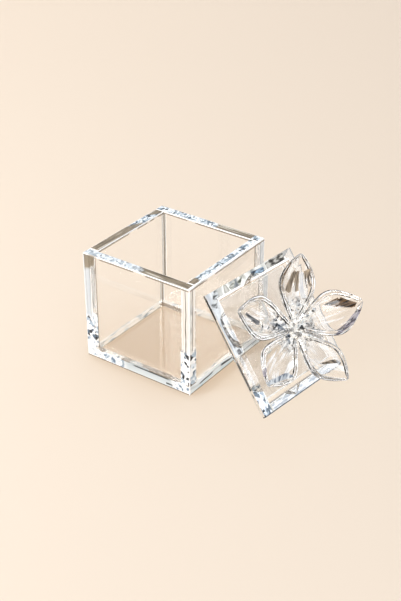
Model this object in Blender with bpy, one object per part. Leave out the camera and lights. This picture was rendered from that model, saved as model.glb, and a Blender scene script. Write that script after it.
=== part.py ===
"""A clear glass keepsake box. Five panes of 6 mm glass make an open cube, and a loose lid of the same
glass, which carries a five-petalled glass flower, leans against the outside of the right wall.

Metres, +Z up. The origin is the centre of the box's underside, +X runs to the wall that the lid leans on,
and -Y is the front. The lid is made flat in its own frame, with its underside at z = 0, its width along x
and its height up the lean along y, and an empty then stands it against the wall.
"""
import math

import bmesh
import bpy
from mathutils import Matrix, Vector

MM = 0.001

# Driving dimensions
SIDE = 72 * MM  # outer side of the square box and of its lid
GLASS = 6 * MM  # thickness of every pane
BODY_HEIGHT = 66 * MM  # the open box, which the lid makes up to a cube
GAP = 0.3 * MM  # bond line, and the clearance between pieces that touch
ARRIS = 0.4 * MM  # ground arris on every pane's edges
WELD = 0.001 * MM

# Lid
LID_CHAMFER = 4.4 * MM  # wide polished chamfer under the lid's edges, by which fingers lift it
LOCATOR_SIDE = 58 * MM  # the smaller plate underneath, which drops inside the walls
LOCATOR_THICKNESS = 3 * MM

# How the lid leans on the right wall, its lower edge on the table
LEAN = math.radians(36.2)  # from upright
SKEW = math.radians(-6.2)  # the lower edge isn't quite parallel to the wall
LID_MIDDLE_Y = 8.1 * MM

# Flower
FLOWER_PLACE = (2.2 * MM, -3.1 * MM)  # from the middle of the lid, as it was bonded by hand
SEAT_RADIUS = 5 * MM
SEAT_HEIGHT = 11.2 * MM
SEAT_FOOT_RADIUS = 7.5 * MM
SEAT_FOOT_THICKNESS = 0.8 * MM
SEAT_FLARE = 0.8 * MM  # how far the neck flares out again above the foot
SEAT_FLARE_BOTTOM = 1.8 * MM
SEAT_FLARE_TOP = 3.5 * MM
SEAT_CHAMFER = 0.8 * MM  # round the seat's upper edge
SEAT_SIDES = 30

PETAL_ROOT_HEIGHT = 10.5 * MM  # rim of a petal above the lid, where it meets the seat
PETAL_HALF_WIDTH = 14 * MM
PETAL_FULLNESS = 0.85  # under 1 fills out the leaf's sides
PETAL_DEPTH = 5.5 * MM  # of the cup, below its rim
PETAL_CUP_FULLNESS = 0.6  # under 1 keeps the cup deep towards its ends
PETAL_RIM = 2.2 * MM  # width of the flat rim, about the thickness of the petal's glass
PETAL_FLOOR = 2 * MM
HOLLOW_LEAST_WIDTH = 0.3  # where the petal is narrow, its hollow keeps this share of the width
HOLLOW_LEAST_DEPTH = 0.04
PETAL_ROOT_FRACTION = 0.08  # how far along the full leaf shape the root is cut off
PETAL_TIP_FRACTION = 0.985  # the tip is rounded off here
PETAL_ROOM = math.radians(33)  # half the angle between neighbours, which they keep to near their roots
PETAL_CROWDING = 6  # how sharply a petal narrows there
PETAL_CURL = 1.25  # over 1 makes the tip turn up
PETAL_STATIONS = 15
OUTER_POINTS = 11
INNER_POINTS = 9
# The petals are bonded by hand and open unevenly. Each has its name, its direction on the lid's face
# from the lid's far edge round towards its upper one, its reach from the flower's axis, and the height
# of its tip above the lid.
PETALS = (
    ("petal_top", math.radians(61), 40 * MM, 20 * MM),
    ("petal_right", math.radians(-5.5), 38.2 * MM, 28 * MM),
    ("petal_lower_right", math.radians(-77), 37.4 * MM, 21 * MM),
    ("petal_lower_left", math.radians(-152), 37.8 * MM, 8.2 * MM),
    ("petal_left", math.radians(140), 37.5 * MM, 7.6 * MM),
)

PISTIL_HEIGHT = 7.5 * MM
PISTIL_STEM_RADIUS = 0.9 * MM
PISTIL_FOOT_RADIUS = 1.26 * MM
PISTIL_FOOT_HEIGHT = 1.2 * MM
PISTIL_HEAD_RADIUS = 2.5 * MM
PISTIL_HEAD_LENGTH = 5 * MM
PISTIL_GIRDLE = 2 * MM  # the head's widest place, above its lower end
PISTIL_SHOULDER_RADIUS = 1.8 * MM
PISTIL_SHOULDER = 3.7 * MM
PISTIL_SIDES = 8

STAMEN_RADIUS = 0.45 * MM
STAMEN_BEAD_RADIUS = 1.3 * MM
STAMEN_FOOT_RING = 3.1 * MM
STAMEN_SIDES = 10
BEAD_RINGS = 6
STAMENS_IN_RING = 5
# Each ring of stamens: name, length, lean from the flower's axis, direction of the first
STAMEN_RINGS = (
    ("outer_stamen", 13 * MM, math.radians(60), math.radians(22)),
    ("inner_stamen", 8 * MM, math.radians(28), math.radians(58)),
)

DROP_RADIUS = 2.4 * MM
DROP_ALONG_PETAL = 0.47  # where the drop lies in the left petal, from its root
DROP_UP_SIDE = math.radians(34)  # and how far round the cup's side, towards the lid's lower edge
DROP_SIDES = 16
DROP_RINGS = 8

# Finish
SEAT_SMOOTH_ANGLE = math.radians(30)
ROUND_SMOOTH_ANGLE = math.radians(50)
GLASS_COLOUR = (0.93, 0.97, 0.98, 1.0)
GLASS_ROUGHNESS = 0.02
GLASS_IOR = 1.52
GLASS_ALPHA = 0.35


def clear_scene():
    """Start from nothing, whatever file this runs in."""
    for old in list(bpy.data.objects):
        bpy.data.objects.remove(old, do_unlink=True)


def glass_material(name):
    """Clear glass, shown by a thin tint so that each piece can be told from the next."""
    material = bpy.data.materials.new(name)
    material.use_nodes = True
    shader = material.node_tree.nodes["Principled BSDF"]
    shader.inputs["Base Color"].default_value = GLASS_COLOUR
    shader.inputs["Roughness"].default_value = GLASS_ROUGHNESS
    shader.inputs["IOR"].default_value = GLASS_IOR
    shader.inputs["Metallic"].default_value = 0.0
    shader.inputs["Alpha"].default_value = GLASS_ALPHA
    return material


def finish(name, shape, parent=None, smooth_angle=None):
    """Turn a bmesh into a named object with its own material."""
    bmesh.ops.recalc_face_normals(shape, faces=shape.faces)
    mesh = bpy.data.meshes.new(name)
    shape.to_mesh(mesh)
    shape.free()
    if smooth_angle is not None:
        mesh.shade_smooth()
        mesh.set_sharp_from_angle(angle=smooth_angle)
    mesh.materials.append(glass_material(name + "_glass"))
    piece = bpy.data.objects.new(name, mesh)
    bpy.context.scene.collection.objects.link(piece)
    piece.parent = parent
    return piece


def slab(size, centre):
    """A rectangular pane with a fine ground arris on all its edges."""
    shape = bmesh.new()
    bmesh.ops.create_cube(shape, size=1.0)
    bmesh.ops.scale(shape, vec=size, verts=shape.verts)
    bmesh.ops.translate(shape, vec=centre, verts=shape.verts)
    bmesh.ops.bevel(
        shape, geom=shape.edges[:], offset=ARRIS, offset_type="OFFSET",
        affect="EDGES", segments=1, profile=0.5, material=-1,
    )
    return shape


def turned(profile, sides):
    """Spin (radius, height) points, the first and last of them on the axis, into a closed solid."""
    shape = bmesh.new()
    points = [shape.verts.new((radius, 0.0, height)) for radius, height in profile]
    edges = [shape.edges.new(pair) for pair in zip(points, points[1:])]
    bmesh.ops.spin(
        shape, geom=points + edges, cent=(0, 0, 0), axis=(0, 0, 1), angle=math.tau,
        steps=sides, use_merge=True, use_duplicate=False,
    )
    bmesh.ops.remove_doubles(shape, verts=shape.verts, dist=WELD)
    return shape


def ball_profile(centre_height, radius, rings, start_angle=-0.5 * math.pi):
    """Points of a ball's outline, from start_angle up to its top on the axis."""
    points = []
    for i in range(rings + 1):
        angle = start_angle + (0.5 * math.pi - start_angle) * i / rings
        across = 0.0 if i == rings else radius * math.cos(angle)
        points.append((across, centre_height + radius * math.sin(angle)))
    return points


def build_box():
    """The base lies under all four walls, and the side walls stand between the front and back ones."""
    wall_height = BODY_HEIGHT - GLASS - GAP
    wall_middle = GLASS + GAP + wall_height / 2
    wall_offset = (SIDE - GLASS) / 2
    between = SIDE - 2 * GLASS - 2 * GAP
    finish("base_pane", slab((SIDE, SIDE, GLASS), (0, 0, GLASS / 2)))
    for name, side in (("front_wall", -1), ("back_wall", 1)):
        finish(name, slab((SIDE, GLASS, wall_height), (0, side * wall_offset, wall_middle)))
    for name, side in (("left_wall", -1), ("right_wall", 1)):
        finish(name, slab((GLASS, between, wall_height), (side * wall_offset, 0, wall_middle)))


def lid_frame():
    """The empty that stands the lid up: x along its lower edge, y up its lean, z out of its upper face."""
    along = Vector((-math.sin(SKEW), math.cos(SKEW), 0))
    outward = Vector((math.cos(SKEW), math.sin(SKEW), 0))
    normal = outward * math.cos(LEAN) + Vector((0, 0, math.sin(LEAN)))
    upward = normal.cross(along)
    # The locating plate's near upper corner rests on the wall, the usual gap away from it, and the lid's
    # lower edge stands on the table, on the line where its chamfer starts
    touch = (upward - along) * LOCATOR_SIDE / 2 - normal * (LOCATOR_THICKNESS + GAP)
    foot = -upward * SIDE / 2 + normal * LID_CHAMFER
    middle = Vector((SIDE / 2 + GAP - touch.x, LID_MIDDLE_Y, -foot.z))
    frame = bpy.data.objects.new("lid_frame", None)
    bpy.context.scene.collection.objects.link(frame)
    turn = Matrix((along, upward, normal)).transposed()
    frame.matrix_world = Matrix.Translation(middle) @ turn.to_4x4()
    return frame


def build_lid(frame):
    """The chamfered lid plate, and the smaller plate bonded under it that keeps it on the box."""
    land = GLASS - LID_CHAMFER
    plate = bmesh.new()
    bmesh.ops.create_cube(plate, size=1.0)
    bmesh.ops.scale(plate, vec=(SIDE, SIDE, land), verts=plate.verts)
    bmesh.ops.translate(plate, vec=(0, 0, GLASS - land / 2), verts=plate.verts)
    under = min(plate.faces, key=lambda face: face.calc_center_median().z)
    bmesh.ops.inset_region(plate, faces=[under], thickness=LID_CHAMFER, depth=0.0)
    bmesh.ops.translate(plate, vec=(0, 0, -LID_CHAMFER), verts=under.verts)
    finish("lid_plate", plate, frame)

    locator_middle = -GAP - LOCATOR_THICKNESS / 2
    locator = slab((LOCATOR_SIDE, LOCATOR_SIDE, LOCATOR_THICKNESS), (0, 0, locator_middle))
    finish("locating_plate", locator, frame)


def petal_fraction(t):
    """Where t, from 0 at the root to 1 at the tip, lies on the full leaf shape."""
    return PETAL_ROOT_FRACTION + (PETAL_TIP_FRACTION - PETAL_ROOT_FRACTION) * t


def petal_width(t, reach):
    """Half the petal's width: a leaf that narrows near its root, where its neighbours leave less room."""
    leaf = PETAL_HALF_WIDTH * math.sin(math.pi * petal_fraction(t)) ** PETAL_FULLNESS
    room = petal_radius(t, reach) * math.tan(PETAL_ROOM)
    return (leaf ** -PETAL_CROWDING + room ** -PETAL_CROWDING) ** (-1 / PETAL_CROWDING)


def petal_depth(t):
    """Depth of the cup's outside below the rim."""
    return PETAL_DEPTH * math.sin(math.pi * petal_fraction(t)) ** PETAL_CUP_FULLNESS


def petal_rim_height(t, tip_height):
    """Height of the rim above the lid, rising from the seat and turning up towards the tip."""
    return PETAL_ROOT_HEIGHT + (tip_height - PETAL_ROOT_HEIGHT) * t ** PETAL_CURL


def petal_radius(t, reach):
    """Distance from the flower's axis."""
    root = SEAT_RADIUS + GAP
    return root + (reach - root) * t


def petal_hollow(t, reach):
    """Half the width and the depth of the cup's inside, which fades out at both ends."""
    width = petal_width(t, reach)
    depth = petal_depth(t)
    inner_width = max(width - PETAL_RIM, HOLLOW_LEAST_WIDTH * width)
    inner_depth = max(depth - PETAL_FLOOR, HOLLOW_LEAST_DEPTH * depth)
    return inner_width, inner_depth


def petal_section(t, reach, tip_height):
    """The crescent that the petal is at t: its outside from rim to rim, then its inside back."""
    width = petal_width(t, reach)
    depth = petal_depth(t)
    inner_width, inner_depth = petal_hollow(t, reach)
    x = petal_radius(t, reach)
    z = petal_rim_height(t, tip_height)
    points = []
    for i in range(OUTER_POINTS):
        angle = math.pi * i / (OUTER_POINTS - 1)
        points.append((x, -width * math.cos(angle), z - depth * math.sin(angle)))
    for i in range(INNER_POINTS):
        angle = math.pi * i / (INNER_POINTS - 1)
        points.append((x, inner_width * math.cos(angle), z - inner_depth * math.sin(angle)))
    return points


def petal(reach, tip_height):
    """A cupped, pointed petal: crescent sections bridged from the root to the tip."""
    shape = bmesh.new()
    sections = []
    for i in range(PETAL_STATIONS):
        # Stations crowd towards both ends, where the outline turns fastest
        t = 0.5 - 0.5 * math.cos(math.pi * i / (PETAL_STATIONS - 1))
        ring = [shape.verts.new(point) for point in petal_section(t, reach, tip_height)]
        edges = [shape.edges.new((ring[j - 1], ring[j])) for j in range(len(ring))]
        sections.append(edges)
    for lower, upper in zip(sections, sections[1:]):
        bmesh.ops.bridge_loops(shape, edges=lower + upper)
    for end in (sections[0], sections[-1]):
        bmesh.ops.contextual_create(shape, geom=end)
    return shape


def seat():
    """A short column with a spread foot, which carries the petals and what stands between them."""
    profile = (
        (0, 0),
        (SEAT_FOOT_RADIUS, 0),
        (SEAT_FOOT_RADIUS, SEAT_FOOT_THICKNESS),
        (SEAT_RADIUS + SEAT_FLARE, SEAT_FLARE_BOTTOM),
        (SEAT_RADIUS, SEAT_FLARE_TOP),
        (SEAT_RADIUS, SEAT_HEIGHT - SEAT_CHAMFER),
        (SEAT_RADIUS - SEAT_CHAMFER, SEAT_HEIGHT),
        (0, SEAT_HEIGHT),
    )
    return turned(profile, SEAT_SIDES)


def pistil():
    """A stem with a cut, pointed head."""
    head_bottom = PISTIL_HEIGHT - PISTIL_HEAD_LENGTH
    profile = (
        (0, 0),
        (PISTIL_FOOT_RADIUS, 0),
        (PISTIL_STEM_RADIUS, PISTIL_FOOT_HEIGHT),
        (PISTIL_STEM_RADIUS, head_bottom),
        (PISTIL_HEAD_RADIUS, head_bottom + PISTIL_GIRDLE),
        (PISTIL_SHOULDER_RADIUS, head_bottom + PISTIL_SHOULDER),
        (0, PISTIL_HEIGHT),
    )
    return turned(profile, PISTIL_SIDES)


def stamen(length):
    """A glass thread with a bead melted on its end."""
    neck = math.asin(STAMEN_RADIUS / STAMEN_BEAD_RADIUS) - 0.5 * math.pi
    bead = ball_profile(length - STAMEN_BEAD_RADIUS, STAMEN_BEAD_RADIUS, BEAD_RINGS, neck)
    return turned([(0, 0), (STAMEN_RADIUS, 0)] + bead, STAMEN_SIDES)


def drop():
    """A ball of glass round its own middle."""
    upper = ball_profile(0, DROP_RADIUS, DROP_RINGS)[1:]
    return turned([(0, -DROP_RADIUS)] + upper, DROP_SIDES)


def drop_place(reach, tip_height):
    """The middle of a drop that touches the inside of a petal's cup."""
    t = DROP_ALONG_PETAL
    width, depth = petal_hollow(t, reach)
    touch = Vector((0, width * math.sin(DROP_UP_SIDE), -depth * math.cos(DROP_UP_SIDE)))
    inward = Vector((0, -touch.y / width ** 2, -touch.z / depth ** 2)).normalized()
    rim = Vector((petal_radius(t, reach), 0, petal_rim_height(t, tip_height)))
    return rim + touch + inward * (DROP_RADIUS + GAP)


def build_flower(frame):
    """The seat, five petals round it, and the pistil and stamens that stand on it."""
    centre = Matrix.Translation((*FLOWER_PLACE, GLASS + GAP))
    piece = finish("flower_seat", seat(), frame, SEAT_SMOOTH_ANGLE)
    piece.matrix_local = centre

    for name, direction, reach, tip_height in PETALS:
        piece = finish(name, petal(reach, tip_height), frame, ROUND_SMOOTH_ANGLE)
        piece.matrix_local = centre @ Matrix.Rotation(direction, 4, "Z")

    piece = finish("pistil", pistil(), frame)
    piece.matrix_local = centre @ Matrix.Translation((0, 0, SEAT_HEIGHT + GAP))

    for name, length, lean, direction in STAMEN_RINGS:
        foot_height = SEAT_HEIGHT + GAP + STAMEN_RADIUS * math.sin(lean)
        foot = Matrix.Translation((STAMEN_FOOT_RING, 0, foot_height)) @ Matrix.Rotation(lean, 4, "Y")
        for k in range(STAMENS_IN_RING):
            piece = finish(f"{name}_{k + 1}", stamen(length), frame, ROUND_SMOOTH_ANGLE)
            spin = Matrix.Rotation(direction - k * math.tau / STAMENS_IN_RING, 4, "Z")
            piece.matrix_local = centre @ spin @ foot

    # A round drop of glass lies against the side of the left petal's cup, the last petal made
    name, direction, reach, tip_height = PETALS[-1]
    piece = finish("glass_drop", drop(), frame, ROUND_SMOOTH_ANGLE)
    place = Matrix.Translation(drop_place(reach, tip_height))
    piece.matrix_local = centre @ Matrix.Rotation(direction, 4, "Z") @ place


def main():
    clear_scene()
    build_box()
    frame = lid_frame()
    build_lid(frame)
    build_flower(frame)


main()
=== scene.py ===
"""The looks of a small keepsake box of clear glass panes, whose loose lid, with a glass flower on it,
leans against the box's right wall. Metres, +Z up, the origin at the centre of the box's underside.
"""
import math

import bmesh
import bpy
from mathutils import Matrix, Vector


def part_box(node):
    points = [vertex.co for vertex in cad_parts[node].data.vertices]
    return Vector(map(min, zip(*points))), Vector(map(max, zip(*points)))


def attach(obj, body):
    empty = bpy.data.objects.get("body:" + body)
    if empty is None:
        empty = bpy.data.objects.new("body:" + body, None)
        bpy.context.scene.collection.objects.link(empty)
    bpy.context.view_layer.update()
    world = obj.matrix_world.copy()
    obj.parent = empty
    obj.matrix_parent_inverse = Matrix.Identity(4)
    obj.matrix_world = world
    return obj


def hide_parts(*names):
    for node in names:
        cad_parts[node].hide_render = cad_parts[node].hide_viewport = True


MM = 0.001

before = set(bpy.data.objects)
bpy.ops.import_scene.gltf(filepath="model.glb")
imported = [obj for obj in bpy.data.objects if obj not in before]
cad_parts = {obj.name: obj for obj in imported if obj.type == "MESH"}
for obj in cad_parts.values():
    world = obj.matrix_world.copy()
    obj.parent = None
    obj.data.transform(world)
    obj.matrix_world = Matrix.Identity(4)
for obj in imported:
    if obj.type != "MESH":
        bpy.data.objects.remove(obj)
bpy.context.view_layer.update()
scene = bpy.context.scene

# Box, with the same sizes as the solids
SIDE = 72 * MM
HALF = SIDE / 2
GLASS = 6 * MM
INNER = HALF - GLASS  # from the middle to a wall's inner face
BODY_HEIGHT = 66 * MM
GAP = 0.3 * MM
BOND = 0.02 * MM  # how far a pane reaches into its neighbour, so that light crosses the bond
ARRIS = 0.5 * MM  # rounded, where the solids have a flat one
ARRIS_STEPS = 3
RIM_BOTTOM = BODY_HEIGHT - ARRIS
FACE_ROOM = 0.03 * MM  # how far from a face's plane a point still counts as on it

# Painted reflections and shade at the panes' edges. Two places are a stretch, or a fade from none to full
CLEAR = "#FFFFFE"  # the shade of clear glass
SILVER = 0.85  # how much of a mirror a rim is
OUTLINE = 0.9 * MM  # the dark line that an edge's own shadow draws beside it
# Where the rim's painted reflection is silver and not smoky: leftwards along its front and back,
# backwards along its right side, and in a stretch of its left side
LENGTHWAYS_SILVER = (5 * MM, 1 * MM)
RIGHT_SILVER = (-24 * MM, -20 * MM)
LEFT_SILVER = ((6 * MM, 9 * MM), (26 * MM, 23 * MM))
RIM_WAVER = 30 * MM  # how far those ends stray
RIM_CHIP = 1.35 * MM  # the size of the chips in the silver
RIM_PALING = 0.45  # how much the silver pales towards the front
RIM_GRAIN = 2 * MM  # the width of the streaks in the smoke, and
RIM_GRAIN_DRAW = 0.08  # how far they are drawn out along the rim
RIM_STRIPE = 1.4 * MM  # the painted white highlight along the outer side of the right rim
SPARKLE_TOP = 29 * MM  # how high up the front corners the painted sparkles reach
SPARKLE_FADE = 4 * MM
SPARKLE_CHIP = 1.8 * MM
SPARKLE_VEIL = 0.85  # how much of what is behind them the painted sparkles and the foot's painted reflections hide, and how much the painted dark lines, the posts' painted reflections and the painted smoky shade hide
LINE_VEIL = 0.6  # how much the dark lines, the posts and the smoke hide
POST = 5.2 * MM  # how wide the painted bright reflection down each corner is on either face
POST_SHAKE = 0.25  # how far its lines stray, as a share of its width
CORNER_SHADE_BOTTOM = (55 * MM, 58 * MM)  # the front left corner has painted smoky shade from here up
CORNER_SHADE_WAVER = 0.4  # how far that border strays, as a share of the rim's waver
CORNER_SHADE_INSET = ARRIS + 0.4 * MM
SEAM = 0.5 * MM  # the dark line that the bond draws down each inner corner
HEM = 0.6 * MM  # the painted contact shadow, a dark line along the foot of the box
FOOT_STROKE = 2.6 * MM  # the width of the slanted strokes of painted reflection in the foot
# The calm stretch is a plain painted reflection, and its upper and lower lines are painted dark lines
CALM_FOOT = ((-12 * MM, -6 * MM), (26 * MM, 22 * MM))  # where the front of the foot is plain but for
UPPER_LINE = (4.5 * MM, 5.4 * MM)  # an upper dark line, by its height and
UPPER_STRETCH = ((-4 * MM, -1 * MM), (24 * MM, 20 * MM))  # its place along the front
LOW_LINE = (1.6 * MM, 2.6 * MM)  # and a lower, short one
LOW_STRETCH = (20 * MM, 25 * MM)
BASE_SHADE = -12 * MM  # left of here the foot of the back wall has painted shade, seen from inside

# Lid, with the same sizes and lean as the solids
LID_CHAMFER = 4.4 * MM
LOCATOR_SIDE = 58 * MM
LOCATOR_THICKNESS = 3 * MM
LEAN = math.radians(36.2)  # from upright
SKEW = math.radians(-6.2)  # against the wall
LID_MIDDLE_Y = 8.1 * MM
# Painted reflections in its border, in places across and up the lid
LID_BAND = LID_CHAMFER  # how wide the silver border looks, and
LID_LEFT_BAND = 6.6 * MM  # how wide it looks on the left
LID_PATCH = 8 * MM  # the size of the patches in it
LID_SIDE_PATCH = 2.5 * MM  # and of those on the left
LID_CHIP = 1.25 * MM  # the chips that it breaks up into below its clear stretch
LID_STRIPE = 1.3 * MM  # the painted highlight, a white mirror line along the inner side of the lid's upper border, and the painted dark line beside it
LID_STRIPE_LINE = 0.4 * MM  # the dark one beside it
STRIPE_SILVER = 0.6  # how much of a mirror the white line is
LID_STREAK = 1.6 * MM  # the width of the streaks in its facets
# Painted reflection facets in the lid's border: start, end and half widths there, in millimetres,
# and two colours
LID_FACETS = (
    ((28.5, 34), (13, 33.6), (2.6, 1.8), "#34322F", "#C0BEB8"),
    ((10.5, 32.4), (0.5, 34.6), (1.9, 0.3), "#1E2B38", "#A4BACE"),
    ((-7, 35), (-11, 32.8), (0.3, 1.3), "#3E4238", "#B0B2A8"),
    ((-13, 35), (-18, 32.4), (0.3, 1.5), "#3E4238", "#C0C2BA"),
    ((-28, 35), (-34, 28), (1.4, 2.0), "#5A5C5C", "#C8CCCE"),
    ((-34, 14), (-31.5, -2), (0.8, 1.6), "#64666A", "#D4D6D8"),
    ((-28, -34), (30, -34), (1.9, 1.9), "#B8BEC6", "#F4F6F8"),
)
CLEAR_CORNER = 28.5 * MM  # past here the lid's right border is clear
CLEAR_STRETCH = (-19 * MM, 0)  # the stretch of its left border that is clear
CLEAR_LOSS = 0.7  # how much less of a mirror the clear parts are
CHIPS_FADE = 2 * MM
LINE_TOP = (9 * MM, 11 * MM)  # from here up the painted dark line along the left side is unbroken
BOLD_STRETCHES = ((22 * MM, 34 * MM), (-20 * MM, -3 * MM))  # where it is bold
LOWER_LINE = 0.6 * MM  # the painted dark line along the lid's lower side

# Flower, with the same sizes as the solids but for the rims' shape and the beads
FLOWER_PLACE = (2.2 * MM, -3.1 * MM)  # from the middle of the lid
SEAT_RADIUS = 5 * MM
SEAT_HEIGHT = 11.2 * MM
SEAT_FOOT_RADIUS = 7.5 * MM
PETAL_ROOT_HEIGHT = 10.5 * MM
PETAL_HALF_WIDTH = 14 * MM
PETAL_FULLNESS = 0.85  # under 1 fills out the leaf's sides
PETAL_DEPTH = 5.5 * MM  # of the cup, below its rim
PETAL_CUP_FULLNESS = 0.6  # under 1 keeps the cup deep towards its ends
PETAL_RIM = 3 * MM
PETAL_FLOOR = 2 * MM
HOLLOW_LEAST_WIDTH = 0.3  # where the petal is narrow, its hollow keeps this share of the width
HOLLOW_LEAST_DEPTH = 0.04  # and this share of the depth
PETAL_ROOT_FRACTION = 0.08  # how far along the full leaf shape the root is cut off
PETAL_TIP_FRACTION = 0.985  # the tip is rounded off here
PETAL_ROOM = math.radians(33)  # half the angle between neighbours near their roots
PETAL_CROWDING = 6  # how sharply a petal narrows there
PETAL_CURL = 1.25  # over 1 makes the tip turn up
PETAL_STATIONS = 48
OUTER_POINTS = 33
INNER_POINTS = 25
RIM_POINTS = 12
RIM_ROUND = 0.9  # the rim's height over its half width
RIM_GROOVE = 0.55  # the groove between its two beads, as a share of that height
PETAL_SMOOTH_ANGLE = math.radians(50)
# Each petal's direction on the lid's face, in degrees, and in millimetres its reach from the flower's axis
# and its tip's height
PETALS = {
    "petal_top": (61, 40, 20),
    "petal_right": (-5.5, 38.2, 28),
    "petal_lower_right": (-77, 37.4, 21),
    "petal_lower_left": (-152, 37.8, 8.2),
    "petal_left": (140, 37.5, 7.6),
}
CRACKLE_CHIP = 1.1 * MM  # the size of the fine cracks in a petal's root
CRACKLE_FADE = 6 * MM  # over this length they thin out
CRACKLE_VEIL = 0.6  # how much of what is behind them they hide, and
FACET_VEIL = 0.8  # how much a facet hides
FACET_STREAK = 1.3 * MM  # the width of the streaks in a facet, and
PETAL_DRAW = ((1.0, 0.16, 1.0), (0, 0, 0.1))  # how they and the milk are drawn out along the petal
# The painted lines on a petal's rim, by how far round it they lie: the fades of the painted dark
# lines and the painted white highlights
RIM_DARKS = ((0.22, 0.17), (0.80, 0.85))
RIM_WHITES = (((0.20, 0.24), (0.40, 0.34)), ((0.66, 0.70), (0.82, 0.78)))
RIM_DARK_VEIL = 0.85
RIM_DRIFT = 0.5  # how far they stray to either side
# The dark and the light shades of the painted reflections in the facets
BROWN = ("#1C130B", "#6E553B")
SMOKY = ("#585048", "#A89A88")
STEEL = ("#6E7A8A", "#E4EBF2")
SLATE = ("#2A333E", "#8E98A4")
DARK = ("#1E2126", "#85888C")
VIOLET = ("#4A4652", "#A6A2AE")
WHITE = ("#DADEE4", "#FFFFFF")
# How milky each petal is, how far out the fine cracks in its root go, and its facets of painted
# reflection, in millimetres across and along the flat petal
PETAL_LOOKS = {
    "petal_top": (0.7, 21, (
        ((0.8, 31.5), (3.5, 21), (1.2, 2), *SMOKY),
        ((-1.2, 31.7), (-3, 21.7), (0.9, 1.1), *SMOKY),
        ((-4, 31.5), (-7.5, 18), (0.6, 0.7), *WHITE),
        ((-6.4, 32.7), (-10, 24), (0.7, 0.3), *SMOKY),
        ((6.7, 34.7), (10.7, 27.5), (0.4, 0.5), *BROWN),
    )),
    "petal_right": (0.55, 18, (
        ((6, 23.2), (4.8, 28.6), (0.1, 2.1), *BROWN),
        ((4.8, 28.6), (-0.6, 35.2), (2.2, 1.1), *BROWN),
        ((-11.8, 18), (-11.5, 22), (0.1, 0.5), *VIOLET),
        ((-11.5, 22), (-9, 29), (0.5, 0.8), *VIOLET),
        ((-9, 29), (-3.8, 36), (0.8, 0.4), *VIOLET),
    )),
    "petal_lower_right": (0.6, 16, (
        ((-1, 23.7), (6, 28), (0.3, 1.2), *SMOKY),
    )),
    "petal_lower_left": (1.0, 15, (
        ((-0.6, 36.8), (9.5, 23.5), (1, 1.5), *STEEL),
        ((-6.8, 31.5), (-4.8, 35.5), (0.8, 0.8), *VIOLET),
        ((-3.8, 6.4), (0.6, 8), (1.2, 0.4), *SLATE),
    )),
    "petal_left": (0.75, 18, (
        ((-1, 31.5), (1.8, 21.7), (0.4, 1.3), *DARK),
        ((-0.5, 10.5), (4, 6), (0.5, 1.2), *SLATE),
    )),
}

SEAT_FOOT_THICKNESS = 0.8 * MM
SEAT_FLUTES = 15
SEAT_FLUTE = 0.86  # the radius in a flute over that between two
# Radius and height up the seat, and up the pistil, whose head is cut in two rows of facets
SEAT_PROFILE = (
    (0, 0),
    (SEAT_FOOT_RADIUS, 0),
    (SEAT_FOOT_RADIUS, SEAT_FOOT_THICKNESS),
    (SEAT_RADIUS + 0.8 * MM, 1.8 * MM),
    (SEAT_RADIUS, 3.5 * MM),
    (SEAT_RADIUS, SEAT_HEIGHT - 0.8 * MM),
    (SEAT_RADIUS - 0.8 * MM, SEAT_HEIGHT),
    (0, SEAT_HEIGHT),
)
PISTIL_SIDES = 8
PISTIL_PROFILE = (
    (0, 0),
    (1.26 * MM, 0),
    (0.9 * MM, 1.2 * MM),
    (0.9 * MM, 2.5 * MM),
    (2.5 * MM, 4.5 * MM),
    (1.8 * MM, 6.2 * MM),
    (0, 7.5 * MM),
)
STAMEN_RADIUS = 0.45 * MM
STAMEN_SIDES = 10
BEAD_RADIUS = 1.5 * MM
BEAD_SHARES = (1.0, 0.8, 0.6, 0.4, 0.2)  # how far up the stem each bead sits
BEAD_LEAST = 0.6  # a bead at the stem's foot over the one on its end
STAMEN_FOOT_RING = 3.1 * MM
STAMENS_IN_RING = 5
# Each ring of stamens: name, length, and in degrees its lean from the flower's axis and its direction
STAMEN_RINGS = (
    ("outer_stamen", 13 * MM, 60, 22),
    ("inner_stamen", 8 * MM, 28, 58),
)
DROP_RADIUS = 2.4 * MM
WELD = 0.001 * MM

# Camera, at the photograph's viewing angle
CAMERA_PLACE = (0.34678, -0.46321, 0.37105)
CAMERA_TURN = 0.61798  # about Z, from looking along +Y
CAMERA_DIP = 0.53210  # below the horizon
SENSOR = 36  # mm, along the picture's long side
LENS = 70.93  # mm

# Studio
FLOOR_SIZE = 6.0
FLOOR_DROP = 0.2 * MM  # so that the lid's lowest edge stays above it
BACKDROP = "#E8E2D8"
SKY_STRENGTH = 1.45
CLOUDS = 2.6  # about how many dark patches lie across the sky
# Towards the bright panels that the rims mirror, and the cosines at which one begins and is full
SKY_PANELS = ((-0.52, 0.69, 0.5), (0.745, 0.535, 0.378), (0, 0, 1), (0, 0.96, 0.27))
PANEL_EDGE = (0.86, 0.93)
BOUNCES = 24  # deep enough to see through every pane
GLOSSY_BOUNCES = 12
TRANSPARENT_BOUNCES = 32


def linear(hex_colour):
    """An sRGB hex colour as the linear colour that a shader takes."""
    channels = [int(hex_colour[i:i + 2], 16) / 255 for i in (1, 3, 5)]
    values = [c / 12.92 if c <= 0.04045 else ((c + 0.055) / 1.055) ** 2.4 for c in channels]
    return (*values, 1.0)


def add(tree, kind, settings=None, links=None, **values):
    """A node of that kind, with its settings, its inputs' links and its inputs' values."""
    node = tree.nodes.new(kind)
    for key, value in (settings or {}).items():
        setattr(node, key, value)
    for key, value in values.items():
        node.inputs[key.replace("_", " ")].default_value = value
    for key, source in (links or {}).items():
        tree.links.new(source, node.inputs[key])
    return node


def feed(tree, body, **sources):
    """Feeds a shader's sockets, such as Base_Color, from other nodes."""
    for key, source in sources.items():
        tree.links.new(source, body.inputs[key.replace("_", " ")])


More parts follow.
